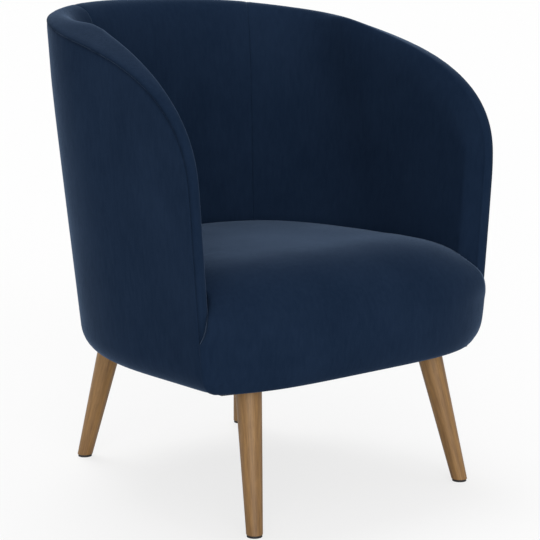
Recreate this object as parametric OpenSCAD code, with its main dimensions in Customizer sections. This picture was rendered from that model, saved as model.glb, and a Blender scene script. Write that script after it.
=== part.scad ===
// Tub chair: an upholstered shell on a plywood frame, with a sprung seat and four splayed legs.
// Millimetres, +Z up, the front of the chair towards -Y.
// The origin is on the floor, below the middle of the chair's box.

/* [Overall] */
// Width over the arms
overall_width = 650; // [600:1:720]
// Depth from the nose of the seat to the back of the rim
overall_depth = 580; // [550:1:640]
// Height of the seam at the top of the back
overall_height = 784; // [750:1:850]
// Height of the flat underside above the floor
underside_height = 219; // [195:1:235]

/* [Shell] */
// Width over the shell at its waist
waist_width = 604; // [570:1:640]
// Height at which the waist is measured
waist_height = 319; // [300:1:340]
// Height at which the sides reach the full width
full_width_height = 670; // [620:1:720]
// How the sides curve outwards from waist to full width
side_curve_power = 1.3; // [1:0.1:2]
// Length of the straight side at the waist
waist_side_length = 160; // [120:1:200]
// Length of the side under the arm's curve, at the rim
rim_side_length = 282; // [250:1:310]
// Squareness of the back corners at the waist
waist_corner_power = 2.45; // [2.1:0.05:2.8]
// Squareness of the back corners at the rim
rim_corner_power = 2.3; // [2.1:0.05:2.8]
// How far the rim stands behind the waist at the back
back_lean = 10; // [0:1:30]
// How far the bottom edge is drawn in
tuck_width = 28; // [20:1:34]
// Height of the rounded bottom edge
tuck_height = 40; // [32:1:46]
// How far the front corners are drawn back at the bottom
corner_draw = 12; // [6:1:16]

/* [Arms and rim] */
// Distance from the nose of the seat back to the arm fronts
nose_reach = 60; // [45:1:75]
// Rise of the rim towards the back, per unit of depth
rim_rise_share = 0.226; // [0.15:0.005:0.3]
// Height that the arm's curve drops from the rim line to the straight arm front
arm_drop = 161; // [130:1:180]
// Squareness of the arm's curve
arm_curve_power = 2.8; // [2.2:0.1:3.2]
// Height at which the arm facing ends, behind the seat
facing_foot_height = 306; // [302:1:312]

/* [Upholstery] */
// Thickness of the padded wall at the front of the arms
wall_thickness = 38; // [34:1:44]
// Thickness of the padded rim at the rear ends of the arms
rim_thickness = 67; // [50:1:70]
// Extra thickness of the padded wall beside the seat
wall_swell = 6; // [2:1:10]
// Height over which the wall swells above the seat
swell_height = 150; // [100:1:200]
// Height that the padded rim stands above its seam at the front of the arms
rim_crown = 3; // [1:0.5:6]
// Height that the padded rim stands above its seam at the rear ends of the arms
rim_lift = 16; // [8:1:18]
// Depth to which the padded rim rounds over
rim_round = 26; // [20:1:32]
// Thickness of the velvet
cloth_thickness = 1.2; // [1:0.1:1.6]
// Height of the crown of the seat
seat_height = 405; // [395:1:425]
// Height of the crown above the edge of the seat
seat_crown = 22; // [12:1:28]
// Height of the foremost line of the seat's nose
nose_height = 300; // [290:1:302]
// Length over which the seat rolls over at the front
seat_roll = 150; // [110:1:180]
// Squareness of the roll at the front of the seat
seat_roll_power = 2.6; // [2:0.1:3]
// How far the bottom edge of the front lies behind the nose
nose_draw = 24; // [12:1:32]
// Width of velvet turned under the base
turn_under = 8; // [6:1:10]

/* [Frame] */
// Thickness of the bent outer board
outer_board_thickness = 3; // [2:0.5:4]
// Thickness of the bent lining board
lining_thickness = 2; // [1.5:0.5:3]
// Thickness of the plywood of the rings
plywood_thickness = 18; // [15:1:18]
// Width of the plywood rings
ring_width = 62; // [58:1:70]
// Depth of ribs, posts and rails into the wall
rib_depth = 16; // [14:1:18]
// Width of ribs, posts and rails
rib_width = 40; // [30:1:45]
// Height of the top of the seat ring
seat_ring_height = 298; // [292:1:299]
// Thickness of the padding over the rails at the rim
rail_cover = 13; // [12:1:16]
// Width of the leg blocks
leg_block_width = 44; // [38:1:46]
// Height of the leg blocks
leg_block_height = 32; // [28:1:34]

/* [Seat springs] */
// Number of sinuous springs
spring_count = 5; // [3:2:5]
// Distance between the springs
spring_spacing = 70; // [64:1:74]
// Diameter of the spring wire
wire_diameter = 3.8; // [3:0.1:4]
// Half the length of the straight bars of a spring
spring_bar = 14; // [10:1:16]
// Distance wanted from bar to bar
spring_pitch = 25; // [22:1:32]
// Thickness of the spring clips
clip_thickness = 1.2; // [1:0.1:1.5]
// Length of a spring clip along the wire
clip_length = 22; // [16:1:26]
// Thickness of the spring cloth
spring_cloth_thickness = 1.5; // [1:0.1:2]

/* [Legs] */
// Diameter of a leg at the floor
foot_diameter = 25; // [22:1:30]
// Diameter of a leg where it meets the base
leg_top_diameter = 41; // [36:1:42]
// Distance between the centres of the front feet
front_foot_spread = 442; // [420:1:460]
// Distance between the centres of the rear feet
rear_foot_spread = 350; // [330:1:370]
// Distance from the nose of the seat to the front feet
front_foot_setback = 30; // [20:1:40]
// Distance from the rear feet to the back of the rim
rear_foot_setback = 27; // [20:1:50]
// Sideways splay of the legs, per unit of height
side_splay_share = 0.134; // [0.1:0.002:0.15]
// Front and rear splay of the legs, per unit of height
end_splay_share = 0.228; // [0.2:0.002:0.24]
// Thickness of the glides
glide_thickness = 4; // [3:0.5:6]
// Diameter of the hanger bolts
bolt_diameter = 8; // [6:1:8]

/* [Hidden] */

// Clearance between neighbouring pieces, and the overrun of every cut
fit_gap = 0.3;
cut_overrun = 20;
tie_gap = 0.001;
place_step = 0.1;
velvet = "#1b2c44";
foam_colour = "#e8dcc0";
board_colour = "#a98f6a";
plywood_colour = "#d3b98c";
steel_colour = "#8f9499";
oak_colour = "#a5825c";
$fn = 48;

// Places worked out from the sizes
front_y = -overall_depth / 2;
back_y = overall_depth / 2;
arm_front_y = front_y + nose_reach;
waist_half = waist_width / 2;
top_half = overall_width / 2;
join_y = arm_front_y + rim_side_length;
tuck_top = underside_height + tuck_height;
base_top = underside_height + cloth_thickness + fit_gap + plywood_thickness;
board_depth = cloth_thickness + fit_gap;
frame_depth = board_depth + outer_board_thickness + 2 * fit_gap;
lining_depth = frame_depth + rib_depth + 2 * fit_gap;
foam_depth = lining_depth + lining_thickness + fit_gap;
ring_depth = lining_depth;
pad_foot_height = seat_ring_height + cloth_thickness + fit_gap;
seat_edge_height = seat_height - seat_crown;

// Sinuous springs lie in clips on the seat ring, below the spring cloth
wire_radius = wire_diameter / 2;
clip_radius = wire_radius + fit_gap + clip_thickness;
wire_height = seat_ring_height + clip_radius;
spring_cloth_height = wire_height + clip_radius + fit_gap;
deck_height = spring_cloth_height + spring_cloth_thickness + fit_gap;
spring_hold = 10;
clip_tail = 14;
nail_diameter = 2;
nail_length = 14;
nail_head_diameter = 5;
nail_head_height = 0.8;

// Hardware of the legs
foot_radius = foot_diameter / 2;
leg_top_radius = leg_top_diameter / 2;
bolt_radius = bolt_diameter / 2;
bolt_grip = 45;
nut_barrel_wall = 1.8;
nut_barrel_radius = bolt_radius + nut_barrel_wall;
nut_barrel_length = 10;
nut_flange_radius = 11;
nut_flange_height = 1.6;
bolt_tip = 4;
glide_inset = 0.7;
glide_nail_radius = 1.5;
glide_nail_length = 14;
screw_radius = 2.5;
screw_head_radius = 5;
screw_head_height = 3;
screw_length = 34;
screw_gap = 0.15;

// Each leg stands on its foot and leans in and towards the middle
leg_corners = [[-1, -1], [1, -1], [-1, 1], [1, 1]];
splay_angle = atan(norm([side_splay_share, end_splay_share]));
function foot_x(corner) = corner[0] * (corner[1] < 0 ? front_foot_spread : rear_foot_spread) / 2;
function foot_y(corner) = corner[1] < 0 ? front_y + front_foot_setback : back_y - rear_foot_setback;
function axis_at(corner, z) = [foot_x(corner) - corner[0] * side_splay_share * z,
    foot_y(corner) - corner[1] * end_splay_share * z];
function along_leg(z) = z / cos(splay_angle);
leg_top_z = underside_height - cloth_thickness;
block_top = base_top + leg_block_height;
nut_seat = along_leg(base_top + leg_block_height / 2);

// Counts and shares that set how finely the curved pieces are cut up
arm_steps = 8;
back_steps = 8;
panel_seam_angle = 58;
thin_section_shares = [[0, 0], [0.13, 0.83], [0.32, 1], [0.47, 0.5], [0.58, -0.12], [0.68, -0.37],
    [0.83, -0.67], [1, -1]];
full_section_shares = [[0, 0], [0.3, 0.44], [0.6, 0.78], [0.81, 1], [0.91, 0.88], [0.985, 0.44],
    [1, -0.19], [1, -1]];
section_inset_shares = [[1, 0], [0, -1], [0, -1], [-0.3, -1], [-0.7, -0.8], [-1, -0.4], [-1, -0.1],
    [-1, 0]];
full_rim_angle = 20;
back_rim_share = 0.15;
row_shares = [0.14, 0.4, 0.7];
tuck_angles = [90, 70, 50, 25, 0];
bow_shares = [0, 0.3, 0.55, 0.72, 0.85, 1];
wide_share = 0.86;
seat_roll_shares = [0, 0.18, 0.4, 0.62, 0.7, 0.82, 0.95, 1];
seat_crown_shares = [0.93, 0.8, 0.55, 0.25];
seat_side_shares = [0.22, 0.45, 0.7];
seat_corner_angles = [8, 25, 42, 58, 74];
seat_bow_power = 3;
crown_power = 4;
ear_share = 0.68;
ear_stop = 0.75;
ear_power = 1.8;

function mix(a, b, t) = a + (b - a) * t;
function ease(t) = (1 - cos(180 * max(0, min(1, t)))) / 2;
function flipped(points) = [for (p = points) [-p[0], p[1], p[2]]];
function backwards(list) = [for (i = [len(list) - 1:-1:0]) list[i]];

// Outer form of the shell, without the tuck at its bottom edge
function half_width(z) =
    let (s = min(1, (z - waist_height) / (full_width_height - waist_height)))
    mix(waist_half, top_half, 1 - pow(1 - s, side_curve_power));
function rim_share(z) = (z - waist_height) / (overall_height - waist_height);
function corner_start(z) = arm_front_y + mix(waist_side_length, rim_side_length, rim_share(z));
function corner_power(z) = mix(waist_corner_power, rim_corner_power, rim_share(z));
function back_reach(z) = back_y - back_lean * (1 - rim_share(z));

// Points of the left half of the shell at a depth into the wall: by y, by angle and by x
function side_point(y, z, depth) =
    let (n = corner_power(z), y0 = corner_start(z))
    let (t = max(0, (y - y0) / (back_reach(z) - depth - y0)))
    [-(half_width(z) - depth) * pow(1 - pow(t, n), 1 / n), y, z];
function round_point(a, z, depth) =
    let (p = 2 / corner_power(z), y0 = corner_start(z))
    [-(half_width(z) - depth) * pow(cos(a), p), y0 + (back_reach(z) - depth - y0) * pow(sin(a), p), z];
function back_point(x, z, depth) =
    let (n = corner_power(z), y0 = corner_start(z), t = abs(x) / (half_width(z) - depth))
    [x, y0 + (back_reach(z) - depth - y0) * pow(1 - pow(t, n), 1 / n), z];

// The rim: a straight sloping line, dropping in a curve to the upright arm front
function rim_line(y) = overall_height - rim_rise_share * (back_y - y);
function back_rim(a, z = overall_height, n = 4) =
    n == 0 ? z : back_rim(a, rim_line(round_point(a, z, 0)[1]), n - 1);
join_z = rim_line(join_y);
join_angle = asin(pow((join_y - corner_start(join_z)) / (back_reach(join_z) - corner_start(join_z)),
    corner_power(join_z) / 2));
arm_top_z = rim_line(arm_front_y) - arm_drop;

// A column of the wall is [y, z, direction y, direction z, outer share, inner share] on the arm,
// where the shares place its foot, or [angle] round the back
function arm_column(phi, foot) =
    let (p = 2 / arm_curve_power)
    let (y = arm_front_y + rim_side_length * (1 - pow(cos(phi), p)))
    let (d = [-pow(cos(phi), 2 - p) / rim_side_length, pow(sin(phi), 2 - p) / arm_drop])
    [y, rim_line(y) - arm_drop * (1 - pow(sin(phi), p)), d[0] / norm(d), d[1] / norm(d),
        (y - arm_front_y) / rim_side_length, foot];
function front_column(z, foot) = [arm_front_y, z, -1, 0, 0, foot];
arm_foot_first = arm_front_y + rim_round + wall_thickness / 2;
arm_foot_last = round_point(join_angle, pad_foot_height, 0)[1];
facing_share = 0.3;
arm_columns = [for (i = [0:arm_steps])
    arm_column(90 * i / arm_steps, mix(facing_share, 1, i / arm_steps))];
facing_columns = [for (t = [0, 0.35, 0.7])
    front_column(mix(facing_foot_height, arm_top_z, t), facing_share * t)];
corner_columns = [for (i = [1:back_steps]) [mix(join_angle, panel_seam_angle, i / back_steps)]];
centre_columns = [for (i = [0:back_steps / 2]) [mix(panel_seam_angle, 90, 2 * i / back_steps)]];
function after_first(list) = [for (i = [1:len(list) - 1]) list[i]];
half_columns = concat(arm_columns, corner_columns, after_first(centre_columns));

function on_arm(column) = len(column) > 1;
function column_rim(column) = on_arm(column) ? column[1] : back_rim(column[0]);
// Heights of the rows below the rim, the same for every layer, so that the layers nest
function row_height(column, share) =
    let (rim = column_rim(column), whole = max(rim, arm_top_z))
    mix(rim, pad_foot_height, share * (whole - tuck_top) / (whole - pad_foot_height));
function edge_point(column, depth, rise) = on_arm(column)
    ? side_point(column[0] + column[2] * rise, column[1] + column[3] * rise, depth)
    : round_point(column[0], back_rim(column[0]) + rise, depth);
// A point of an outer layer, at a height on the line from its top edge down to the column's foot
function drop_y(column, rise, z) =
    let (top = [column[0] + column[2] * rise, column[1] + column[3] * rise])
    let (foot = mix(arm_front_y - rise, arm_foot_last, column[4]))
    mix(top[0], foot, (top[1] - z) / (top[1] - pad_foot_height));
function drop_point(column, depth, rise, z) =
    on_arm(column) ? side_point(drop_y(column, rise, z), z, depth) : round_point(column[0], z, depth);
// The padded wall gets thicker beside the seat, away from the arm facing
function pad_depth(y, z) = wall_thickness + wall_swell * ease((y - arm_front_y) / swell_height)
    * ease((seat_edge_height + swell_height - z) / swell_height);
// A point of an inner layer, which fans out below the rounded front of the arm
function fan_y(column, z) =
    let (top = [column[0] - column[2] * rim_round, column[1] - column[3] * rim_round])
    let (foot = mix(arm_foot_first, arm_foot_last, column[5]))
    mix(top[0], foot, (top[1] - z) / (top[1] - pad_foot_height));
function lining_point(column, depth, z) = on_arm(column)
    ? side_point(fan_y(column, z), z, depth)
    : round_point(column[0], z, depth);
// The rim gets thicker along the arm, and thinner again round the back corner
function fullness(column) = on_arm(column) ? column[4]
    : mix(1, back_rim_share, ease((column[0] - full_rim_angle) / (panel_seam_angle - full_rim_angle)));
function rim_swell(column, z) = (rim_thickness - wall_thickness) * fullness(column)
    * ease((z - seat_edge_height) / (column_rim(column) - rim_round - seat_edge_height));
function pad_point(column, inset, z) =
    let (y = on_arm(column) ? fan_y(column, z) : back_y)
    lining_point(column, pad_depth(y, z) + rim_swell(column, z) - inset, z);
function pad_heights(column) = concat([for (s = row_shares) row_height(column, s)], [pad_foot_height]);

// Section over the padded rim, from the seam to the inner face, as [depth, rise].
// Its shares are of the thickness, and of the height over the seam or the roundness below it.
function section_rise(share, height) = share * (share > 0 ? height : rim_round);
function rim_section(column, inset) =
    [for (i = [0:len(section_inset_shares) - 1])
        let (thin = thin_section_shares[i], full = full_section_shares[i], side = section_inset_shares[i])
        [mix(thin[0] * wall_thickness, full[0] * rim_thickness, fullness(column)) + side[0] * inset,
            mix(section_rise(thin[1], rim_crown), section_rise(full[1], rim_lift), fullness(column))
                + side[1] * inset]];

// Two triangles of a four-cornered facet, cut along its shorter diagonal
function quad(points, a, b, c, d) = norm(points[a] - points[d]) < norm(points[b] - points[c]) + tie_gap
    ? [[a, b, d], [a, d, c]] : [[a, b, c], [b, d, c]];

// A closed skin over rings that run along one face and back along the other
module strip_loft(rings, closed = false) {
    m = len(rings[0]);
    n = len(rings);
    points = [for (ring = rings) each ring];
    sides = [for (i = [0:closed ? n - 1 : n - 2], j = [0:m - 1])
        let (here = i * m, there = (i + 1) % n * m, k = (j + 1) % m)
        each quad(points, here + j, here + k, there + j, there + k)];
    last = (n - 1) * m;
    caps = closed ? [] : [for (j = [0:m / 2 - 2]) let (k = m - 1 - j) each [
        [j, k, k - 1], [j, k - 1, j + 1],
        [last + j, last + k - 1, last + k], [last + j, last + j + 1, last + k - 1]]];
    polyhedron(points, concat(sides, caps));
}

// A closed skin over level rings, from a point over the first to a point under the last
module dome_loft(rings, top, bottom) {
    m = len(rings[0]);
    n = len(rings);
    points = concat([for (ring = rings) each ring], [top, bottom]);
    sides = [for (i = [0:n - 2], j = [0:m - 1])
        let (a = i * m + j, b = i * m + (j + 1) % m)
        each quad(points, b, a, b + m, a + m)];
    caps = [for (j = [0:m - 1]) let (k = (j + 1) % m) each [
        [n * m, j, k], [n * m + 1, (n - 1) * m + k, (n - 1) * m + j]]];
    polyhedron(points, concat(sides, caps));
}

module pair(side) {
    if (side == "left") children();
    else mirror([1, 0, 0]) children();
}

// The bottom edge of the shell at an angle round the tuck, drawn back at the front corner
function tuck_point(column, angle, inset, more = 0) =
    let (draw = 1 - sin(angle), fade = on_arm(column) ? max(0, 1 - column[4] / facing_share) : 0)
    let (q = drop_point(column, tuck_width * draw + inset * sin(angle) + more, -fit_gap,
        underside_height + tuck_height * (1 - cos(angle)) + inset * cos(angle)))
    q + [0, corner_draw * fade * draw, 0];
// Velvet on the outside of the shell: down from the seam, round the tuck and under the base
function outside_rows(column, inset) = concat([edge_point(column, inset, -fit_gap)],
    [for (s = row_shares) drop_point(column, inset, -fit_gap, row_height(column, s))],
    [for (a = tuck_angles) tuck_point(column, a, inset)], [tuck_point(column, 0, inset, turn_under)]);
function outside_ring(column) =
    concat(outside_rows(column, 0), backwards(outside_rows(column, cloth_thickness)));
module outside_side_cover(side) color(velvet) pair(side) {
    columns = concat(arm_columns, corner_columns);
    strip_loft([for (c = columns) outside_ring(c)]);
}
function across_back(rings) =
    let (half = concat([[for (p = rings[0]) p + [fit_gap, 0, 0]]], after_first(rings)))
    concat(half, [for (i = [len(half) - 2:-1:0]) flipped(half[i])]);
module outside_back_cover() color(velvet) difference() {
    strip_loft(across_back([for (c = centre_columns) outside_ring(c)]));
    leg_bores(bolt_radius + screw_gap);
}

// Velvet on the inside: from the seam over the rim and down to the seat
function inside_rows(column, inset) =
    concat([for (q = rim_section(column, inset)) edge_point(column, q[0], q[1])],
        [for (z = pad_heights(column)) pad_point(column, inset, z)]);
function inside_ring(column) =
    concat(inside_rows(column, cloth_thickness), backwards(inside_rows(column, 0)));
module inside_side_cover(side) color(velvet) pair(side)
    strip_loft([for (c = concat(facing_columns, arm_columns, corner_columns)) inside_ring(c)]);
module inside_back_cover() color(velvet)
    strip_loft(across_back([for (c = centre_columns) inside_ring(c)]));

// One foam pad lines the wall and wraps over the rails at the rim
foam_top_shares = [0, 0.15, 0.45, 0.75, 1];
foam_side_shares = [0.25, 0.6, 1];
function foam_ring(column) =
    let (skin = cloth_thickness + fit_gap)
    concat(
        [for (s = foam_top_shares)
            edge_point(column, mix(skin, foam_depth, s), fit_gap - rail_cover)],
        [for (s = foam_side_shares)
            edge_point(column, foam_depth, mix(-rail_cover, -rim_round, s) + fit_gap)],
        [for (z = pad_heights(column)) lining_point(column, foam_depth, z)],
        backwards(inside_rows(column, skin)));
module wall_foam() color(foam_colour) {
    left = [for (c = concat(facing_columns, half_columns)) foam_ring(c)];
    strip_loft(concat(left, [for (i = [len(left) - 2:-1:0]) flipped(left[i])]));
}

// Boards, ribs and posts are strips of the wall, from a set-back edge down to a foot
tuck_table = [for (a = tuck_angles)
    [underside_height + tuck_height * (1 - cos(a)), tuck_width * (1 - sin(a))]];
function tuck_inset(z) = z > tuck_top ? 0 : lookup(z, tuck_table);
function strip_rows(column, depth, rise, foot) = concat([edge_point(column, depth, rise)],
    [for (s = row_shares) drop_point(column, depth, rise, row_height(column, s))],
    [for (z = foot < tuck_top ? [tuck_top, tuck_table[1][0], foot] : [foot])
        drop_point(column, depth + tuck_inset(z), rise, z)]);
function strip_ring(column, depth, thickness, rise, foot) =
    concat(strip_rows(column, depth, rise, foot),
        backwards(strip_rows(column, depth + thickness, rise, foot)));
module bent_board(depth, thickness, rise, foot) {
    left = [for (c = half_columns) strip_ring(c, depth, thickness, rise, foot)];
    strip_loft(concat(left, [for (i = [len(left) - 2:-1:0]) flipped(left[i])]));
}
module outer_board() color(board_colour)
    bent_board(board_depth, outer_board_thickness, -rail_cover, base_top + fit_gap);
module lining_board() color(board_colour)
    bent_board(lining_depth, lining_thickness, -rail_cover - rib_depth, pad_foot_height);

// Rails at the rim, with the front posts below their front ends and ribs below the rest
rail_rise = -rail_cover;
function member_ring(column) = [for (q = [[0, 0], [0, 1], [1, 1], [1, 0]])
    edge_point(column, frame_depth + q[0] * rib_depth, rail_rise - q[1] * rib_width)];
post_columns = 4;
module front_post(side) color(plywood_colour) pair(side)
    strip_loft([for (i = [0:post_columns])
        strip_ring(arm_columns[i], frame_depth, rib_depth, rail_rise, base_top)]);
module arm_rail(side) color(plywood_colour) pair(side)
    strip_loft(concat([for (i = [post_columns:arm_steps]) member_ring(arm_columns[i])],
        [for (c = corner_columns) member_ring(c)]));
module back_rail() color(plywood_colour) {
    half = [for (c = centre_columns) member_ring(c)];
    strip_loft(concat(half, [for (i = [len(half) - 2:-1:0]) flipped(half[i])]));
}

side_rib_column = 6;
corner_rib_column = 3;
back_rib_column = 1;
module rib(side, columns, first) color(plywood_colour) pair(side)
    strip_loft([for (i = [first:first + 1])
        strip_ring(columns[i], frame_depth, rib_depth, rail_rise - rib_width - fit_gap, base_top)]);

// Plans of the rings: round the sides and back like the wall, and bowed across the front
front_inset = 10;
frame_nose_y = front_y + nose_draw + front_inset;
frame_corner_y = arm_front_y + rail_cover + outer_board_thickness + fit_gap;
bow_half = half_width(nose_height);
function bow_y(x, nose, corner) = mix(nose, corner, pow(abs(x) / bow_half, seat_bow_power));
// The bow has the same knots in every wide layer, with its last one at the layer's corner
function bow_x(share, w) = share * (abs(share) < 1 && w > wide_share * bow_half ? bow_half : w);
function whole_plan(half) = concat(half,
    [for (i = [len(half) - 2:-1:1]) [-half[i][0], half[i][1], half[i][2]]]);
// The wall's points stop behind the bow, which meets them at the front corner
function plan(walls, nose, corner) =
    let (w = -walls[0][0], z = walls[0][2], limit = bow_y(w, nose, corner))
    whole_plan(concat([for (s = bow_shares) let (x = bow_x(s, w)) [-x, bow_y(x, nose, corner), z]],
        [for (i = [1:len(walls) - 1]) [walls[i][0], max(walls[i][1], limit + i * fit_gap), z]]));
function wall_plan(z, depth, nose, corner) =
    plan([for (c = half_columns) drop_point(c, depth, 0, z)], nose, corner);

base_bottom = underside_height + cloth_thickness + fit_gap;
base_tucks = [0, 25, 50];
function base_level(angle) =
    plan([for (c = half_columns) tuck_point(c, angle, cloth_thickness + fit_gap)],
        frame_nose_y, frame_corner_y);
module leg_bores(radius) for (corner = leg_corners)
    at_leg(corner) cylinder(h = overall_height, r = radius);
module base_ring() color(plywood_colour) difference() {
    inset = tuck_inset(base_top) + cloth_thickness + 2 * fit_gap;
    outer = concat([for (a = base_tucks) base_level(a)],
        [wall_plan(base_top, inset, frame_nose_y, frame_corner_y)]);
    inner = [for (z = [base_top, base_bottom])
        wall_plan(z, ring_width + tuck_width, frame_nose_y + ring_width, frame_corner_y + ring_width)];
    levels = concat(outer, inner);
    strip_loft([for (j = [len(outer[0]) - 1:-1:0]) [for (l = levels) l[j]]], closed = true);
    leg_bores(nut_barrel_radius + screw_gap);
    screw_places(screw_radius + screw_gap);
}

seat_ring_bottom = seat_ring_height - plywood_thickness;
function flat(points) = [for (p = points) [p[0], p[1]]];
module seat_ring() color(plywood_colour) difference() {
    translate([0, 0, seat_ring_bottom]) linear_extrude(plywood_thickness)
        polygon(flat(wall_plan(seat_ring_bottom, ring_depth, frame_nose_y, frame_corner_y)));
    translate([0, 0, seat_ring_bottom - cut_overrun]) linear_extrude(plywood_thickness + 2 * cut_overrun)
        polygon(flat(wall_plan(seat_ring_bottom, ring_depth + ring_width, frame_nose_y + ring_width,
            frame_corner_y + ring_width)));
    clip_places() translate([0, clip_tail, -nail_length]) cylinder(h = nail_length + cut_overrun,
        r = nail_diameter / 2 + screw_gap);
}

// Upright pieces between the two rings
rail_height = seat_ring_bottom - base_top;
front_rail_half = foot_x(leg_corners[1]) - side_splay_share * block_top - leg_block_width / 2 - fit_gap;
front_rail_y = frame_nose_y + plywood_thickness;
rear_spacer_y = round_point(90, seat_ring_bottom, ring_depth)[1] - 2 * plywood_thickness;
side_spacer_x = half_width(base_top) - ring_depth - tuck_width - plywood_thickness;
side_spacer_y = -40;
module upright(x, y, length, width) color(plywood_colour) difference() {
    translate([x - length / 2, y - width / 2, base_top]) cube([length, width, rail_height]);
    screw_places(screw_radius + screw_gap);
}
module front_rail()
    upright(0, front_rail_y + plywood_thickness / 2, 2 * front_rail_half, plywood_thickness);
module rear_spacer() upright(0, rear_spacer_y, 2 * rib_width, plywood_thickness);
module side_spacer(side) pair(side)
    upright(-side_spacer_x, side_spacer_y, plywood_thickness, 2 * rib_width);

// A bent board closes the front between the rings, with foam over it
front_shares = concat(backwards(bow_shares), [for (i = [1:len(bow_shares) - 1]) -bow_shares[i]]);
front_board_shares = [for (s = front_shares) if (abs(s) < 1) s];
front_board_face = fit_gap + outer_board_thickness;
front_board_edges = [[base_bottom, fit_gap], [seat_ring_height, fit_gap],
    [seat_ring_height, front_board_face], [base_bottom, front_board_face]];
module front_board() color(board_colour) strip_loft([for (s = front_board_shares)
    let (x = s * bow_half, y = bow_y(x, frame_nose_y, frame_corner_y))
    [for (edge = front_board_edges) [x, y - edge[1], edge[0]]]]);
function front_foam_ring(share) =
    let (skin = cloth_thickness + 2 * fit_gap)
    let (face = [for (a = concat([90], skirt_angles)) let (p = front_point(share, a, skin))
        [p[0], p[1], min(p[2], seat_ring_height)]])
    let (frame = [for (p = face)
        bow_y(p[0], frame_nose_y, frame_corner_y) - 2 * fit_gap - outer_board_thickness])
    concat(face, backwards([for (i = [0:len(face) - 1])
        [face[i][0], max(face[i][1] + 2 * skin, frame[i]), face[i][2]]]));
module front_foam() color(foam_colour) strip_loft([for (s = front_shares) front_foam_ring(s)]);

// Legs: round tapered cones, cut level at the glide and under the base
// Round parts are turned on the leg's axis, so that their seams lie off its slope
seam_turn = 40;
module at_leg(corner) translate([foot_x(corner), foot_y(corner), 0])
    rotate([0, splay_angle, atan2(-corner[1] * end_splay_share, -corner[0] * side_splay_share)])
        rotate([0, 0, seam_turn]) children();

leg_length = along_leg(leg_top_z);
leg_overrun_growth = (leg_top_radius - foot_radius) * cut_overrun / leg_length;
module leg(corner) color(oak_colour) difference() {
    intersection() {
        at_leg(corner) translate([0, 0, -cut_overrun])
            cylinder(h = leg_length + 2 * cut_overrun, r1 = foot_radius - leg_overrun_growth,
                r2 = leg_top_radius + leg_overrun_growth, $fn = 96);
        translate([-overall_width, -overall_depth, glide_thickness])
            cube([2 * overall_width, 2 * overall_depth, leg_top_z - glide_thickness]);
    }
    at_leg(corner) translate([0, 0, leg_length - bolt_grip - bolt_tip])
        cylinder(h = bolt_grip + overall_height, r = bolt_radius + screw_gap);
    glide_place(corner) cylinder(h = glide_thickness + glide_nail_length + bolt_tip,
        r = glide_nail_radius + screw_gap);
}
module glide_place(corner)
    translate([axis_at(corner, glide_thickness)[0], axis_at(corner, glide_thickness)[1], 0])
        children();
module glides() color("#1c1c1c") for (corner = leg_corners) glide_place(corner) {
    cylinder(h = glide_thickness, r = foot_radius - glide_inset);
    cylinder(h = glide_thickness + glide_nail_length, r = glide_nail_radius);
}
module leg_block(corner) color(plywood_colour) difference() {
    centre = axis_at(corner, base_top + leg_block_height / 2);
    translate([centre[0] - leg_block_width / 2, centre[1] - leg_block_width / 2, base_top])
        cube([leg_block_width, leg_block_width, leg_block_height]);
    at_leg(corner) cylinder(h = overall_height, r = nut_barrel_radius + screw_gap);
    at_leg(corner) translate([0, 0, nut_seat])
        cylinder(h = overall_height, r = nut_flange_radius + fit_gap);
}
module leg_bolts() color(steel_colour) for (corner = leg_corners) at_leg(corner)
    translate([0, 0, leg_length - bolt_grip])
        cylinder(h = nut_seat + nut_flange_height + bolt_tip - leg_length + bolt_grip, r = bolt_radius);
module leg_nuts() color(steel_colour) for (corner = leg_corners) at_leg(corner) difference() {
    translate([0, 0, nut_seat - nut_barrel_length]) {
        cylinder(h = nut_barrel_length, r = nut_barrel_radius);
        translate([0, 0, nut_barrel_length]) cylinder(h = nut_flange_height, r = nut_flange_radius);
    }
    cylinder(h = overall_height, r = bolt_radius + screw_gap);
}

// Screws come up through the base ring into the front rail and the spacers
screw_rows = [[-front_rail_half / 2, front_rail_y + plywood_thickness / 2],
    [front_rail_half / 2, front_rail_y + plywood_thickness / 2],
    [-rib_width / 2, rear_spacer_y], [rib_width / 2, rear_spacer_y],
    [-side_spacer_x, side_spacer_y], [side_spacer_x, side_spacer_y]];
module screw_places(radius) for (p = screw_rows) translate([p[0], p[1], base_bottom]) {
    cylinder(h = screw_length, r = radius);
    cylinder(h = screw_head_height, r = radius + screw_head_radius - screw_radius);
}
module frame_screws() color(steel_colour) screw_places(screw_radius);

// Springs: bars across, joined by half rings alternately at their left and right ends
springs = [for (i = [0:spring_count - 1]) (i - (spring_count - 1) / 2) * spring_spacing];
// Their ends lie just inside the ring, and the places of their bars are rounded off
function rounded(length) = place_step * round(length / place_step);
function spring_front_y(x) =
    rounded(bow_y(abs(x) + clip_length / 2, frame_nose_y, frame_corner_y) + ring_width - spring_hold);
function spring_reach(x) = spring_hold - spring_front_y(x)
    + back_point(abs(x) + clip_length / 2, seat_ring_bottom, ring_depth + ring_width)[1];
function bar_gaps(x) = 2 * round(spring_reach(x) / spring_pitch / 2);
function bar_pitch(x) = 2 * rounded(spring_reach(x) / bar_gaps(x) / 2);
function spring_end_y(x) = spring_front_y(x) + bar_gaps(x) * bar_pitch(x);
module spring(x) for (k = [0:bar_gaps(x)])
    translate([x, spring_front_y(x) + k * bar_pitch(x), wire_height]) {
        side = k % 2 == 0 ? 1 : -1;
        rotate([0, 90, 0]) cylinder(h = 2 * spring_bar, r = wire_radius, center = true, $fn = 24);
        if (k < bar_gaps(x)) translate([side * spring_bar, bar_pitch(x) / 2, 0])
            rotate([0, 0, -90 * side]) rotate_extrude(angle = 180, $fn = 48)
                translate([bar_pitch(x) / 2, 0]) circle(r = wire_radius, $fn = 24);
    }
module seat_springs() color(steel_colour) for (x = springs) spring(x);
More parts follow.
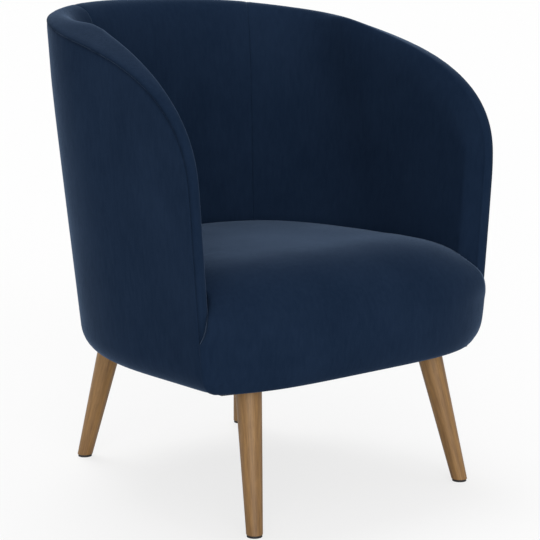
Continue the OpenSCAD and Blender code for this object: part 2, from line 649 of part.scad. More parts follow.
// A clip stands at both ends of each spring, its tail towards the outside of the ring
module clip_places() for (x = springs) {
    translate([x, spring_front_y(x), seat_ring_height]) rotate([0, 0, 180]) children();
    translate([x, spring_end_y(x), seat_ring_height]) children();
}
module spring_clips() color(steel_colour) clip_places() difference() {
    translate([-clip_length / 2, 0, 0]) rotate([90, 0, 90]) linear_extrude(clip_length) {
        difference() {
            translate([0, clip_radius]) circle(r = clip_radius);
            translate([0, clip_radius]) circle(r = clip_radius - clip_thickness);
            translate([-2 * clip_radius, 0]) square([2 * clip_radius, clip_radius]);
        }
        square([clip_tail + nail_head_diameter, clip_thickness]);
    }
    translate([0, clip_tail, -cut_overrun])
        cylinder(h = 2 * cut_overrun, r = nail_diameter / 2 + screw_gap);
}
module clip_nails() color(steel_colour) clip_places() translate([0, clip_tail, clip_thickness]) {
    translate([0, 0, -clip_thickness - nail_length])
        cylinder(h = nail_length + clip_thickness, r = nail_diameter / 2);
    cylinder(h = nail_head_height, r = nail_head_diameter / 2);
}
module spring_cloth() color("#4a4a48") translate([0, 0, spring_cloth_height])
    linear_extrude(spring_cloth_thickness)
        polygon(flat(wall_plan(seat_ring_height, ring_depth + ring_width / 2,
            frame_nose_y + ring_width / 2, frame_corner_y + ring_width / 2)));

// The seat: level rings, rolled over at the front and crowned on top.
// Below the crown its front corners reach out as ears in front of the arm facings.
seat_corner_y = arm_front_y - rim_crown - 2 * fit_gap;
function roll_back(t) = seat_roll * (1 - pow(1 - pow(t, seat_roll_power), 1 / seat_roll_power));
seat_gap = 3 * fit_gap;
function seat_side(y, z, inset) = [-(half_width(z) - pad_depth(y, z) - seat_gap - inset), y, z];
function seat_half(t, inset, foot, side_foot) =
    let (edge_z = seat_edge_height - inset)
    let (level = mix(nose_height, edge_z, t))
    let (z = max(foot + t * fit_gap, level), side_z = max(side_foot + t * fit_gap, level))
    let (rise = max(0, (z - nose_height) / (edge_z - nose_height)))
    let (bow = front_y + inset + (seat_corner_y - front_y) / 2 + roll_back(rise))
    let (in_half = -seat_side(max(arm_front_y, bow), z, inset)[0])
    let (ear = mix(in_half, half_width(z) - inset, max(0, 1 - pow(rise / ear_share, ear_power))))
    let (bow_end = seat_corner_y - 2 * fit_gap)
    let (limit = rise < ear_stop ? bow_end : back_y)
    let (front = [for (s = bow_shares)
        [-ear * s, min(limit, bow_y(ear * s, front_y + inset, bow_end) + roll_back(rise)), z]])
    let (back = max(seat_corner_y - inset / 2, front[len(front) - 1][1] + fit_gap))
    let (depth = wall_thickness + wall_swell + seat_gap + inset)
    concat(front, [[-ear, back, z], seat_side(back + fit_gap, side_z, inset)],
        [for (s = seat_side_shares) seat_side(mix(back, corner_start(side_z), s), side_z, inset)],
        [for (a = seat_corner_angles) round_point(a, side_z, depth)], [round_point(90, side_z, depth)]);
// The crown stands highest along the middle, and runs out to the front over the roll
function lift(i, share, rise) =
    seat_crown * rise * rise * (1 - pow(share * (i < len(bow_shares) ? bow_shares[i] : 1), crown_power));
function seat_ring_at(t, inset, foot, side_foot) =
    let (half = seat_half(t, inset, foot, side_foot))
    whole_plan([for (i = [0:len(half) - 1]) half[i] + [0, 0, lift(i, 1, t)]]);
seat_centre_y = arm_front_y + seat_roll;
function crown_ring(share, inset) =
    let (half = seat_half(1, inset, nose_height, nose_height))
    whole_plan([for (i = [0:len(half) - 1]) let (p = half[i])
        [p[0] * share, mix(seat_centre_y, p[1], share), p[2] + lift(i, share, 1)]]);
function seat_rings(inset, foot, side_foot) = concat(
    [for (s = backwards(seat_crown_shares)) crown_ring(s, inset)],
    [for (t = backwards(seat_roll_shares)) seat_ring_at(t, inset, foot, side_foot)]);
seat_foam_inset = cloth_thickness + 2 * fit_gap;
module seat_foam() color(foam_colour)
    dome_loft(seat_rings(seat_foam_inset, deck_height, deck_height),
        [0, seat_centre_y, seat_height - seat_foam_inset],
        [0, (front_y + seat_corner_y) / 2, deck_height]);

// Below the nose the velvet runs on down the front and turns under the base
skirt_angles = [72, 50, 25, 0];
function front_point(share, angle, inset) =
    let (draw = 1 - sin(angle))
    let (z = mix(underside_height, nose_height, 1 - cos(angle)) + inset * cos(angle))
    let (x = bow_x(share, half_width(z) - tuck_inset(z) - inset))
    let (y = bow_y(x, front_y + nose_draw * draw, seat_corner_y + corner_draw * draw))
    [x, y + inset * sin(angle), z];
function skirt_rows(share, inset) = concat([for (a = skirt_angles) front_point(share, a, inset)],
    [front_point(share, 0, inset) + [0, turn_under, 0]]);
module seat_cover() color(velvet) {
    outer = seat_rings(0, nose_height, pad_foot_height);
    rings = concat(outer, backwards(seat_rings(cloth_thickness, nose_height, pad_foot_height)));
    m = len(rings[0]);
    n = len(rings);
    low = len(outer) - 1;
    dome = concat([for (ring = rings) each ring],
        [[0, seat_centre_y, seat_height], [0, seat_centre_y, seat_height - cloth_thickness]]);
    front = len(bow_shares) - 1;
    places = [for (j = [-front:front]) (j + m) % m];
    shares = [for (j = [-front:front]) (j < 0 ? 1 : -1) * bow_shares[abs(j)]];
    rows = len(skirt_rows(0, 0));
    skirt = [for (s = shares) each concat(skirt_rows(s, 0), backwards(skirt_rows(s, cloth_thickness)))];
    start = len(dome);
    points = concat(dome, skirt);
    chains = [for (i = [0:2 * front]) concat([low * m + places[i]],
        [for (k = [0:2 * rows - 1]) start + i * 2 * rows + k], [(low + 1) * m + places[i]])];
    sides = [for (i = [0:n - 2], j = [0:m - 1]) if (i != low || (j >= front && j < m - front))
        let (a = i * m + j, b = i * m + (j + 1) % m)
        each quad(points, b, a, b + m, a + m)];
    caps = [for (j = [0:m - 1]) let (k = (j + 1) % m) each [
        [n * m, j, k], [n * m + 1, (n - 1) * m + k, (n - 1) * m + j]]];
    drop = [for (i = [0:2 * front - 1], k = [0:2 * rows])
        let (a = chains[i], b = chains[i + 1])
        each quad(points, b[k], a[k], b[k + 1], a[k + 1])];
    ends = [for (k = [0:rows - 1]) let (a = chains[0], b = chains[2 * front], t = 2 * rows + 1) each [
        [a[k], a[t - k], a[t - k - 1]], [a[k], a[t - k - 1], a[k + 1]],
        [b[k], b[t - k - 1], b[t - k]], [b[k], b[k + 1], b[t - k - 1]]]];
    polyhedron(points, concat(sides, caps, drop, ends));
}

module dust_cover() color("#2b2b2d") difference() {
    translate([0, 0, leg_top_z]) linear_extrude(cloth_thickness)
        polygon(flat(wall_plan(underside_height, tuck_width + turn_under / 2,
            front_y + nose_draw + turn_under / 2, seat_corner_y + corner_draw + turn_under / 2)));
    leg_bores(bolt_radius + screw_gap);
}

outside_side_cover("left");  // outside_left_cover
outside_side_cover("right");  // outside_right_cover
outside_back_cover();
inside_side_cover("left");  // inside_left_cover
inside_side_cover("right");  // inside_right_cover
inside_back_cover();
seat_cover();
dust_cover();
wall_foam();
seat_foam();
front_foam();
outer_board();
lining_board();
base_ring();
seat_ring();
front_board();
front_rail();
rear_spacer();
side_spacer("left");  // left_spacer
side_spacer("right");  // right_spacer
front_post("left");  // left_front_post
front_post("right");  // right_front_post
arm_rail("left");  // left_arm_rail
arm_rail("right");  // right_arm_rail
back_rail();
rib("left", arm_columns, side_rib_column);  // left_side_rib
rib("right", arm_columns, side_rib_column);  // right_side_rib
rib("left", corner_columns, corner_rib_column);  // left_corner_rib
rib("right", corner_columns, corner_rib_column);  // right_corner_rib
rib("left", centre_columns, back_rib_column);  // left_back_rib
rib("right", centre_columns, back_rib_column);  // right_back_rib
leg_block(leg_corners[0]);  // front_left_leg_block
leg_block(leg_corners[1]);  // front_right_leg_block
leg_block(leg_corners[2]);  // rear_left_leg_block
leg_block(leg_corners[3]);  // rear_right_leg_block
seat_springs();
spring_clips();
clip_nails();
spring_cloth();
leg(leg_corners[0]);  // front_left_leg
leg(leg_corners[1]);  // front_right_leg
leg(leg_corners[2]);  // rear_left_leg
leg(leg_corners[3]);  // rear_right_leg
leg_bolts();
leg_nuts();
glides();
frame_screws();
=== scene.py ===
"""Looks of a tub chair: dark blue velvet over a padded shell, on four splayed oak legs."""
import math

import bpy
import numpy as np
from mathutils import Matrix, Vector


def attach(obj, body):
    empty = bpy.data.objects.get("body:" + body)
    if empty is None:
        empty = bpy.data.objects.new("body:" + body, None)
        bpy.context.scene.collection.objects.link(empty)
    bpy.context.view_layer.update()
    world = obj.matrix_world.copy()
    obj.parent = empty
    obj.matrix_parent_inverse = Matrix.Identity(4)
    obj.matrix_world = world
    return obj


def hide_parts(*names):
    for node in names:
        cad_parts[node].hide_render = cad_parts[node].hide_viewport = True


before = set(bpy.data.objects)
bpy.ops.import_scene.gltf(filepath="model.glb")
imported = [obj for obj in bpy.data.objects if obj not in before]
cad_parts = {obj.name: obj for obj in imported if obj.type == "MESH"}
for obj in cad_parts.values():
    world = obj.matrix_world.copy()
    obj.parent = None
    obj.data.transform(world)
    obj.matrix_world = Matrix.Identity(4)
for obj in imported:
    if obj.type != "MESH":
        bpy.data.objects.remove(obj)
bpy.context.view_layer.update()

# Sizes are the frame's own, in millimetres and degrees unless a comment says otherwise
MM, TINY = 0.001, 1e-9
CLOTH, GAP = 1.2, 0.3

# The shell's outer form, from its waist up to its rim
HALF_WAIST, HALF_TOP, SIDE_POWER = 302.0, 325.0, 1.3
WAIST_Z, FULL_Z, TOP_Z = 319.0, 670.0, 784.0
FRONT_Y, BACK_Y, ARM_Y = -290.0, 290.0, -230.0
WAIST_SIDE, RIM_SIDE = 160.0, 282.0
WAIST_POWER, RIM_POWER = 2.45, 2.3
BACK_LEAN = 10.0

# The rim, which falls towards the front and rounds down into the arms
RIM_RISE, ARM_DROP, ARM_POWER = 0.226, 161.0, 2.8
RIM_CROWN, RIM_ROUND = 3.0, 26.0
RIM_PASSES = 5
JOIN_Y = ARM_Y + RIM_SIDE
SEAM_ANGLE = 58.0

# The wall's padding: its thickness, its swell low down and its fuller rim
WALL, SWELL, SWELL_HEIGHT = 38.0, 6.0, 150.0
RIM_THICK, FULL_RIM_ANGLE, BACK_RIM_SHARE = 67.0, 8.0, 0.15
RIM_GROWTH, RIM_FALL = 1.3, 0.72
PAD_FOOT, FACING_FOOT, FACING_SHARE = 299.5, 300.0, 0.3
FOAM_DEPTH, FOAM_DROP, RAIL_COVER = 24.0, 0.1, 13.0

# The outside covers' tuck under the base
UNDERSIDE, TUCK_WIDTH, TUCK_HEIGHT = 219.0, 28.0, 40.0
CORNER_DRAW, TURN_UNDER = 12.0, 8.0

# The seat, and the frame under it
SEAT_Z, SEAT_CROWN, NOSE_Z, DECK_Z = 405.0, 22.0, 300.0, 306.9
SEAT_ROLL, ROLL_POWER, NOSE_DRAW = 150.0, 2.6, 24.0
SEAT_EDGE_Z = SEAT_Z - SEAT_CROWN
FRAME_NOSE_Y, FRAME_CORNER_Y = -256.0, -213.7

# Seeds of the random draws
SEEDS = {
    "inside_left": 3,
    "inside_right": 11,
    "inside_back": 23,
    "outside_left": 31,
    "outside_right": 37,
    "outside_back": 41,
    "seat": 5,
}


def mix(a, b, t):
    return a + (b - a) * t


def ease(t):
    return (1 - math.cos(math.pi * min(1.0, max(0.0, t)))) / 2


def steps(first, last, count):
    return [mix(first, last, i / (count - 1)) for i in range(count)]


# Outer form of the shell
def half_width(z):
    s = min(1.0, (z - WAIST_Z) / (FULL_Z - WAIST_Z))
    return mix(HALF_WAIST, HALF_TOP, 1 - (1 - s) ** SIDE_POWER)


def rim_share(z):
    return (z - WAIST_Z) / (TOP_Z - WAIST_Z)


def corner_start(z):
    return ARM_Y + mix(WAIST_SIDE, RIM_SIDE, rim_share(z))


def corner_power(z):
    return mix(WAIST_POWER, RIM_POWER, rim_share(z))


def back_reach(z):
    return BACK_Y - BACK_LEAN * (1 - rim_share(z))


def side_point(y, z, depth):
    """A point of the left side, so deep inside the outer form."""
    n, y0 = corner_power(z), corner_start(z)
    t = max(0.0, (y - y0) / (back_reach(z) - depth - y0))
    return (-(half_width(z) - depth) * max(0.0, 1 - t**n) ** (1 / n), y, z)


def round_point(angle, z, depth):
    """A point round the back, from 0 at the left side to 180 at the right one."""
    p, y0 = 2 / corner_power(z), corner_start(z)
    c, s = abs(math.cos(math.radians(angle))), math.sin(math.radians(angle))
    side = -1 if angle <= 90 else 1
    return (
        side * (half_width(z) - depth) * c**p,
        y0 + (back_reach(z) - depth - y0) * s**p,
        z,
    )


def side_angle(angle):
    """An angle round the back, counted from the nearer side."""
    return min(angle, 180 - angle)


# The rim, and the columns that the wall is cut into
def rim_line(y):
    return TOP_Z - RIM_RISE * (BACK_Y - y)


def back_rim(angle):
    z = TOP_Z
    for _ in range(RIM_PASSES):
        z = rim_line(round_point(angle, z, 0)[1])
    return z


def join_angle():
    """The angle at which the columns round the back take over from the arm's."""
    z = rim_line(JOIN_Y)
    y0 = corner_start(z)
    t = (JOIN_Y - y0) / (back_reach(z) - y0)
    return math.degrees(math.asin(t ** (corner_power(z) / 2)))


JOIN_ANGLE = join_angle()
ARM_TOP_Z = rim_line(ARM_Y) - ARM_DROP
ARM_FOOT_FIRST = ARM_Y + RIM_ROUND + WALL / 2
ARM_FOOT_LAST = round_point(JOIN_ANGLE, PAD_FOOT, 0)[1]


class Column:
    """A column of the wall: on the arm at (y, z) with an edge direction, or at an angle round the back."""

    def __init__(self, y=0.0, z=0.0, dy=0.0, dz=1.0, outer=0.0, inner=0.0, angle=None):
        self.y, self.z, self.dy, self.dz = y, z, dy, dz
        self.outer, self.inner, self.angle = outer, inner, angle
        self.rim = z if angle is None else back_rim(angle)

    def edge(self, depth, rise):
        """A point of a layer at the rim, so far beyond the rim's line."""
        if self.angle is not None:
            return round_point(self.angle, self.rim + rise, depth)
        return side_point(self.y + self.dy * rise, self.z + self.dz * rise, depth)

    def drop(self, depth, rise, z):
        """A point of an outer layer, below the edge."""
        if self.angle is not None:
            return round_point(self.angle, z, depth)
        top_y, top_z = self.y + self.dy * rise, self.z + self.dz * rise
        foot = mix(ARM_Y - rise, ARM_FOOT_LAST, self.outer)
        return side_point(mix(top_y, foot, (top_z - z) / (top_z - PAD_FOOT)), z, depth)

    def fan_y(self, z):
        """How far back the column lies at a height, on the inner layers."""
        if self.angle is not None:
            return BACK_Y
        top_y, top_z = self.y - self.dy * RIM_ROUND, self.z - self.dz * RIM_ROUND
        foot = mix(ARM_FOOT_FIRST, ARM_FOOT_LAST, self.inner)
        return mix(top_y, foot, (top_z - z) / (top_z - PAD_FOOT))

    def inner_top(self):
        return self.rim - (RIM_ROUND if self.angle is not None else self.dz * RIM_ROUND)

    def lining(self, depth, z):
        """A point of an inner layer, below the rim's roll."""
        if self.angle is not None:
            return round_point(self.angle, z, depth)
        return side_point(self.fan_y(z), z, depth)

    def fullness(self):
        """0 where the rim is thin, at the front of the arm, and 1 where it is thickest."""
        if self.angle is None:
            return self.outer**RIM_GROWTH
        turn = (side_angle(self.angle) - FULL_RIM_ANGLE) / (SEAM_ANGLE - FULL_RIM_ANGLE)
        return mix(1, BACK_RIM_SHARE, ease(turn) ** RIM_FALL)

    def pad(self, z):
        """A point of the inside cover, over the padding."""
        top = self.rim - RIM_ROUND
        rise = ease((z - SEAT_EDGE_Z) / (top - SEAT_EDGE_Z))
        extra = (RIM_THICK - WALL) * self.fullness() * rise
        return self.lining(pad_depth(self.fan_y(z), z) + extra, z)


def pad_depth(y, z):
    """The wall's thickness, with its swell low down behind the front of the arm."""
    low = ease((SEAT_EDGE_Z + SWELL_HEIGHT - z) / SWELL_HEIGHT)
    return WALL + SWELL * ease((y - ARM_Y) / SWELL_HEIGHT) * low


# Columns of the facing strip at the arm's front, of the arm, of the corner and of the back
FACING_COLUMNS, ARM_COLUMNS, CORNER_COLUMNS, BACK_COLUMNS = 26, 46, 38, 60
CORNER_START_SHARE = 0.06
SEAM_STEP, SEAM_HALF_GAP = 0.22, 0.03
NEAR_STEPS, NEAR_REACH = (0.35, 0.8, 1.5, 2.6, 4.2), 5.5


def arm_column(phi, inner):
    p = 2 / ARM_POWER
    c, s = math.cos(math.radians(phi)), math.sin(math.radians(phi))
    c, s = max(c, 0.0), max(s, 0.0)
    y = ARM_Y + RIM_SIDE * (1 - c**p)
    z = rim_line(y) - ARM_DROP * (1 - s**p)
    dy, dz = -(c ** (2 - p)) / RIM_SIDE, s ** (2 - p) / ARM_DROP
    size = math.hypot(dy, dz)
    return Column(y, z, dy / size, dz / size, (y - ARM_Y) / RIM_SIDE, inner)


def arm_columns():
    return [arm_column(90 * t, mix(FACING_SHARE, 1, t)) for t in steps(0, 1, ARM_COLUMNS)]


def facing_columns():
    return [
        Column(ARM_Y, mix(FACING_FOOT, ARM_TOP_Z, t), -1, 0, 0, FACING_SHARE * t)
        for t in steps(0, 1, FACING_COLUMNS)[:-1]
    ]


def near_edges(values, gap, first_end=True):
    """Adds close values beside the ends, so that a seam's fold has enough points."""
    first, last = values[0], values[-1]
    sign = 1 if last > first else -1
    extra = [gap * k for k in NEAR_STEPS]
    reach = gap * NEAR_REACH
    inside = [v for v in values[1:] if abs(v - last) > reach]
    start = [first]
    if first_end:
        inside = [v for v in inside if abs(v - first) > reach]
        start += [first + sign * e for e in extra]
    return start + inside + [last - sign * e for e in reversed(extra)] + [last]


def seam_columns(first, last, count, first_end=True):
    angles = near_edges(steps(first, last, count), SEAM_STEP, first_end)
    return [Column(angle=a) for a in angles]


def corner_columns():
    """Columns from a little past the arm's last one to the seam."""
    first = mix(JOIN_ANGLE, SEAM_ANGLE, CORNER_START_SHARE)
    return seam_columns(first, SEAM_ANGLE, CORNER_COLUMNS, first_end=False)


def back_columns():
    first = SEAM_ANGLE + SEAM_HALF_GAP
    return seam_columns(first, 180 - first, BACK_COLUMNS)


# Meshes, many of them from grids: the points of each column of the wall, from the rim down
MIRROR = np.array([-1.0, 1.0, 1.0])
# Painted shade in the crease along the rim seam: the share of the colour left there, and how far it
# spreads
SEAM_SHADE, SEAM_SHADE_WIDTH = 0.66, 4.5


def add_mesh(name, points, faces, smooth=True):
    mesh = bpy.data.meshes.new(name)
    mesh.from_pydata([tuple(MM * c for c in p) for p in points], [], faces)
    mesh.validate()
    mesh.update()
    if smooth:
        mesh.polygons.foreach_set("use_smooth", [True] * len(mesh.polygons))
    obj = bpy.data.objects.new(name, mesh)
    bpy.context.scene.collection.objects.link(obj)
    return obj


def reaches(line):
    """How far along a polyline each of its points lies."""
    return np.concatenate([[0], np.cumsum(np.linalg.norm(np.diff(line, axis=0), axis=1))])


def resample(line, count):
    """The same polyline with its points spread evenly along it."""
    line = np.array(line, float)
    reach = reaches(line)
    at = np.linspace(0, reach[-1], count)
    return np.stack([np.interp(at, reach, line[:, k]) for k in range(3)], axis=1)


def mirrored(grid):
    return (grid * MIRROR)[::-1]


def grid_normals(grid):
    n = np.cross(np.gradient(grid, axis=0), np.gradient(grid, axis=1))
    return n / np.maximum(np.linalg.norm(n, axis=2, keepdims=True), TINY)


def edge_distance(grid, edge):
    """Distance of each grid point from one edge, along the grid."""
    axis = 0 if edge in ("first_column", "last_column") else 1
    g = grid if edge.startswith("first") else np.flip(grid, axis)
    step = np.linalg.norm(np.diff(g, axis=axis), axis=2)
    d = np.cumsum(step, axis=axis)
    zero = np.zeros_like(np.take(d, [0], axis=axis))
    d = np.concatenate([zero, d], axis=axis)
    return d if edge.startswith("first") else np.flip(d, axis)


def along_edge(grid, edge):
    """Distance along one edge, carried over the whole grid."""
    axis = 1 if edge in ("first_column", "last_column") else 0
    reach = reaches(np.take(grid, 0 if edge.startswith("first") else -1, axis=1 - axis))
    return reach[None, :] if axis == 1 else reach[:, None]


def shade_seams(obj, grid):
    """Marks the points near the seam along the rim for painted shade, in the crease where the pile is
    pressed in.
    The rim may be a grid's first row or its last one, and the other row is hidden."""
    distance = np.min([edge_distance(grid, edge) for edge in ("first_row", "last_row")], axis=0)
    near = np.exp(-((distance / SEAM_SHADE_WIDTH) ** 2))
    # The hidden side gets the full painted shade, so the seam's gap between the layers is dark
    values = np.concatenate([near, np.ones_like(near)], axis=1).reshape(-1)
    mark = obj.data.attributes.new("seam", "FLOAT", "POINT")
    mark.data.foreach_set("value", values)


def closed_skin(name, outer, inner):
    """A closed solid between a visible grid and a hidden one of the same counts."""
    rows, count = outer.shape[:2]
    rings = np.concatenate([outer, inner[:, ::-1]], axis=1)
    m = rings.shape[1]
    faces = []
    for i in range(rows - 1):
        for j in range(m):
            k = (j + 1) % m
            faces.append((i * m + j, i * m + k, (i + 1) * m + k, (i + 1) * m + j))
    last = (rows - 1) * m
    for j in range(count - 1):
        k = m - 1 - j
        faces.append((j, k, k - 1, j + 1))
        faces.append((last + j, last + j + 1, last + k - 1, last + k))
    obj = add_mesh(name, rings.reshape(-1, 3).tolist(), faces)
    shade_seams(obj, outer)
    return obj


# Upholstery: depths of the cloth's folds, rolls, puckers and slackness, and how far each spreads
SEAM_FOLD, FOLD_WIDTH = 0.7, 1.0
SEAM_ROLL, ROLL_WIDTH = 0.8, 8.0
PUCKER, PUCKER_FADE, PUCKER_LENGTHS = 0.28, 8.0, (13.0, 21.0, 34.0)
SLACK, SLACK_LENGTH = 0.55, 170.0
WAVES, LEAST_WAVE, LARGEST_WAVE = 9, 0.7, 1.6

# A whole wave in radians, and the range that a wave's random start is drawn from
TURN, START_RANGE = 2 * math.pi, 6.28


def seam_dip(distance):
    """How far the cloth is drawn in beside a seam, with a slight roll next to it."""
    fold = SEAM_FOLD * np.exp(-((distance / FOLD_WIDTH) ** 2))
    return fold + SEAM_ROLL * np.exp(-((distance / ROLL_WIDTH) ** 2))


def puckers(distance, along, seed):
    """Small uneven pulls of the stitching, which fade away from the seam."""
    rng = np.random.default_rng(seed)
    wave = sum(
        np.sin(along * TURN / length + rng.uniform(0, START_RANGE)) for length in PUCKER_LENGTHS
    )
    return PUCKER * wave / len(PUCKER_LENGTHS) * np.exp(-distance / PUCKER_FADE)


def soft_waves(points, size, seed):
    """A slow, smooth unevenness from a few seeded waves, between -1 and 1."""
    rng = np.random.default_rng(seed)
    value = np.zeros(points.shape[:-1])
    for _ in range(WAVES):
        direction = rng.normal(size=3)
        direction /= np.linalg.norm(direction)
        length = size * rng.uniform(LEAST_WAVE, LARGEST_WAVE)
        value += np.sin(points @ direction * TURN / length + rng.uniform(0, START_RANGE))
    return value / WAVES


def upholster(grid, seams, outward, seed, limit=None):
    """Draws a panel in along its seams, with puckers there and a slight slackness all over.
    The limit keeps it clear of the panel's hidden side."""
    normals = grid_normals(grid) * outward
    inward = np.zeros(grid.shape[:2])
    pulls = np.zeros(grid.shape[:2])
    for k, edge in enumerate(seams):
        distance = edge_distance(grid, edge)
        inward = np.maximum(inward, seam_dip(distance))
        pulls += puckers(distance, along_edge(grid, edge), seed + k)
    inward = inward + pulls - SLACK * soft_waves(grid, SLACK_LENGTH, seed)
    if limit is not None:
        inward = np.minimum(inward, limit)
    return grid - normals * inward[:, :, None]


# The padded inside of the wall: three sewn panels over foam

# Sections over the rim as (depth, rise): thin at the front of the arm, full at its rear end
THIN_SECTION = [
    (0, 0), (3, 2), (9, 3), (15, 2.5), (20, 0.5), (22, -3.5), (25.5, -9), (30, -15.5), (34, -20.5),
    (WALL, -RIM_ROUND),
]
FULL_SECTION = [
    (0, 0), (6, 3), (20, 7), (40, 12.5), (54, 16), (60.5, 14.5), (65, 9.5), (RIM_THICK, 1),
    (RIM_THICK, -12), (RIM_THICK, -RIM_ROUND),
]
SECTION_STEPS = [6, 5, 5, 5, 5, 4, 3, 3, 3]
PAD_ROWS, FOAM_ROWS, FOAM_TOP_SHARE = 44, 8, 0.06
TIGHT_EDGE, SOFTENING = 26, 14
ROUND_EDGE, ROUNDING_ANGLE = 8, 55.0


def smooth_line(points, counts):
    """A Catmull-Rom curve through the points, with so many steps in each span."""
    p = np.array(points, float)
    ends = np.concatenate([[2 * p[0] - p[1]], p, [2 * p[-1] - p[-2]]])
    line = [p[0]]
    for i, count in enumerate(counts):
        a, b, c, d = ends[i : i + 4]
        for k in range(1, count + 1):
            t = k / count
            line.append(
                0.5 * (2 * b + (c - a) * t + (2 * a - 5 * b + 4 * c - d) * t**2)
                + 0.5 * (3 * b - a - 3 * c + d) * t**3
            )
    return np.array(line)


RIM_THIN = smooth_line(THIN_SECTION, SECTION_STEPS)
RIM_FULL = smooth_line(FULL_SECTION, SECTION_STEPS)


def soften(line):
    """Rounds a polyline's creases, with both its ends held."""
    for _ in range(SOFTENING):
        line[1:-1] += 0.5 * (0.5 * (line[:-2] + line[2:]) - line[1:-1])
    return line


def inside_line(column):
    """The inside cover down one column: over the rim and down to the seat.
    Its crease under the rim is softened, and more of the rim too where the shell is round."""
    section = mix(RIM_THIN, RIM_FULL, column.fullness())
    line = [column.edge(depth, rise) for depth, rise in section]
    top = column.inner_top()
    line += [column.pad(mix(top, PAD_FOOT, (j + 1) / PAD_ROWS)) for j in range(PAD_ROWS)]
    below = line[TIGHT_EDGE:]
    line = np.array(line[:TIGHT_EDGE] + soften(resample(below, len(below))).tolist())
    if column.angle is None:
        return line
    above = line[ROUND_EDGE:]
    share = ease((side_angle(column.angle) - JOIN_ANGLE) / ROUNDING_ANGLE)
    line[ROUND_EDGE:] = mix(above, soften(resample(above, len(above))), share)
    return line


def foam_line(column, count):
    """The hidden side of an inside panel, where its foam lies over the rail and on the lining."""
    top, start = column.inner_top(), CLOTH + GAP
    line = [column.edge(start, -FOAM_DROP)]
    line += [column.edge(mix(start, FOAM_DEPTH, s), GAP - RAIL_COVER) for s in (0, 0.5, 1)]
    line.append(column.edge(FOAM_DEPTH, GAP - RIM_ROUND))
    shares = steps(FOAM_TOP_SHARE, 1, FOAM_ROWS)
    line += [column.lining(FOAM_DEPTH, mix(top, PAD_FOOT, t)) for t in shares]
    return resample(line, count)


def inside_panel(name, columns, seams):
    outer = np.array([inside_line(c) for c in columns])
    outer = upholster(outer, seams + ["first_row"], -1, SEEDS[name])
    inner = np.array([foam_line(c, outer.shape[1]) for c in columns])
    return outer, inner


def build_inside():
    side = facing_columns() + arm_columns() + corner_columns()
    outer, inner = inside_panel("inside_left", side, ["last_column"])
    left = closed_skin("inside_left", outer, inner)
    outer, inner = inside_panel("inside_right", side, ["last_column"])
    right = closed_skin("inside_right", mirrored(outer), mirrored(inner))
    outer, inner = inside_panel("inside_back", back_columns(), ["first_column", "last_column"])
    back = closed_skin("inside_back", outer, inner)
    return left, right, back


# The outside: tight velvet over a board, tucked in at the bottom
WALL_SHARES = [0.002, 0.004, 0.008, 0.014, 0.024] + steps(0.04, 1, 30)
TUCK_ANGLES = steps(80, 0, 9)
TURN_SHARES = (0.25, 1)
LEAST_CLOTH = 0.4


def tuck_point(column, angle, inset, more=0.0):
    """A point where the outside cover rounds in under the base, or so much further in."""
    r = math.radians(angle)
    draw = 1 - math.sin(r)
    fade = max(0.0, 1 - column.outer / FACING_SHARE) if column.angle is None else 0.0
    z = UNDERSIDE + TUCK_HEIGHT * (1 - math.cos(r)) + inset * math.cos(r)
    x, y, z = column.drop(TUCK_WIDTH * draw + inset * math.sin(r) + more, -GAP, z)
    return (x, y + CORNER_DRAW * fade * draw, z)


def outside_line(column, inset):
    """The outside cover down one column: from the rim to where it turns under the base."""
    line = [column.edge(inset, -GAP)]
    top, foot = line[0][2], UNDERSIDE + TUCK_HEIGHT
    line += [column.drop(inset, -GAP, mix(top, foot, t)) for t in WALL_SHARES]
    line += [tuck_point(column, a, inset) for a in TUCK_ANGLES]
    line += [tuck_point(column, 0, inset, TURN_UNDER * s) for s in TURN_SHARES]
    return line


def outside_panel(name, columns):
    outer = np.array([outside_line(c, 0.0) for c in columns])
    inner = np.array([outside_line(c, CLOTH) for c in columns])
    seams = ["first_column", "last_column", "first_row"]
    return upholster(outer, seams, 1, SEEDS[name], limit=CLOTH - LEAST_CLOTH), inner


def flat_size(grid):
    """Width and length of the cloth that a panel is cut from, in metres."""
    across = np.linalg.norm(np.diff(grid, axis=0), axis=2).sum(axis=0).max()
    down = np.linalg.norm(np.diff(grid, axis=1), axis=2).sum(axis=1).max()
    return (MM * across, MM * down)


def flat_area(grid):
    """Area of that cloth in square metres, from the diagonals of the grid's faces."""
    a = grid[1:, 1:] - grid[:-1, :-1]
    b = grid[1:, :-1] - grid[:-1, 1:]
    return MM * MM * 0.5 * np.linalg.norm(np.cross(a, b), axis=2).sum()


def build_outside():
    """The three outside panels, with the flat size and area of the cloth each is cut from."""
    side = arm_columns() + corner_columns()
    panels = {"outside_left": side, "outside_right": side, "outside_back": back_columns()}
    pieces, cuts = [], []
    for name, columns in panels.items():
        outer, inner = outside_panel(name, columns)
        cuts.append((flat_size(outer), flat_area(outer)))
        if name == "outside_right":
            outer, inner = mirrored(outer), mirrored(inner)
        pieces.append(closed_skin(name, outer[:, ::-1], inner[:, ::-1]))
    return pieces, cuts


# The seat: a crowned cushion that rolls over its bowed front and runs down to the base
SEAT_CORNER_Y = ARM_Y - RIM_CROWN - 2 * GAP
SEAT_CENTRE_Y = ARM_Y + SEAT_ROLL
SEAT_GAP, LEAST_STEP = 3 * GAP, 0.1
BOW_END, BOW_HALF, BOW_POWER = SEAT_CORNER_Y - 2 * GAP, half_width(NOSE_Z), 3
CROWN_POWER = 4
REAR_LIFT, REAR_LIFT_START, REAR_LIFT_RUN = 4.5, 0.0, 190.0

